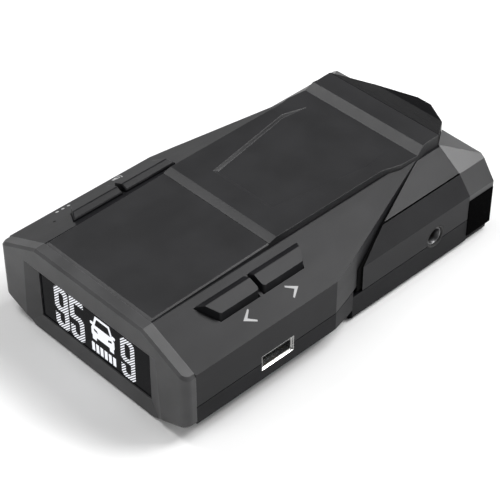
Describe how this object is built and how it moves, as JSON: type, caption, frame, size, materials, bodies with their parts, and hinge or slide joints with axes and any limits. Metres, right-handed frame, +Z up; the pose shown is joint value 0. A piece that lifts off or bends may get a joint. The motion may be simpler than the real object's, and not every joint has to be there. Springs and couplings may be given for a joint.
{
  "type": "radar detector",
  "caption": "Low faceted windscreen radar detector: front display in a shield-shaped frame, raised deck, shoulder press buttons, side data and power sockets, dark rear lens.",
  "frame": {"origin": "middle of the base, on the surface it rests on", "axes": "+X to the right seen from the display end, +Y from the display face to the antenna end, +Z up"},
  "size_m": [0.072, 0.1256, 0.031],
  "materials": {
    "case_plastic": "fine grained matt moulding",
    "deck_plastic": "smooth satin moulding",
    "bezel_plastic": "satin",
    "button_plastic": "satin",
    "seal_rubber": "soft matt seal",
    "inner_plastic": "plain moulding",
    "lens_black": "polished, infrared-passing",
    "window_black": "polished smoked window",
    "display_glass": "display module",
    "ribbon_film": "amber film",
    "switch_metal": "stamped",
    "circuit_board": "solder mask",
    "ceramic": "ceramic",
    "patch_metal": "silvered",
    "socket_metal": "plated",
    "horn_metal": "cast",
    "laser_glass": "polished",
    "screw_metal": "zinc"
  },
  "bodies": {
    "case": {"board_screws": "screw_metal", "bottom_shell": "case_plastic", "case_screws": "screw_metal", "display_holder": "inner_plastic", "display_panel": "display_glass", "display_ribbon": "ribbon_film", "display_window": "window_black", "front_bezel": "bezel_plastic", "front_deck_plate": "deck_plastic", "gps_antenna": "ceramic", "gps_patch": "patch_metal", "horn_antenna": "horn_metal", "jack_contact": "socket_metal", "laser_lens": "laser_glass", "laser_module": "inner_plastic", "left_bumper": "case_plastic", "left_seal": "seal_rubber", "main_board": "circuit_board", "power_jack": "inner_plastic", "rear_deck_cover": "deck_plastic", "rear_hood": "lens_black", "rear_lens": "lens_black", "receiver_board": "circuit_board", "receiver_shield": "socket_metal", "right_bumper": "case_plastic", "right_seal": "seal_rubber", "speaker": "inner_plastic", "tact_switches": "switch_metal", "tail_housing": "case_plastic", "top_shell": "case_plastic", "usb_socket": "socket_metal", "usb_tongue": "inner_plastic"},
    "button_menu": {"button_menu": "button_plastic", "button_menu_stem": "inner_plastic"},
    "button_mute": {"button_mute": "button_plastic", "button_mute_stem": "inner_plastic"},
    "button_next": {"button_next": "button_plastic", "button_next_stem": "inner_plastic"},
    "button_previous": {"button_previous": "button_plastic", "button_previous_stem": "inner_plastic"}
  },
  "joints": [
    {"name": "button_menu_press", "type": "slide", "parent": "case", "child": "button_menu", "axis": [0, 0, -1], "range_m": [0, 0.0006], "stiffness_N_per_m": 800, "springref_m": -0.0015},
    {"name": "button_mute_press", "type": "slide", "parent": "case", "child": "button_mute", "axis": [0, 0, -1], "range_m": [0, 0.0006], "stiffness_N_per_m": 800, "springref_m": -0.0015},
    {"name": "button_next_press", "type": "slide", "parent": "case", "child": "button_next", "axis": [0, 0, -1], "range_m": [0, 0.0006], "stiffness_N_per_m": 800, "springref_m": -0.0015},
    {"name": "button_previous_press", "type": "slide", "parent": "case", "child": "button_previous", "axis": [0, 0, -1], "range_m": [0, 0.0006], "stiffness_N_per_m": 800, "springref_m": -0.0015}
  ]
}
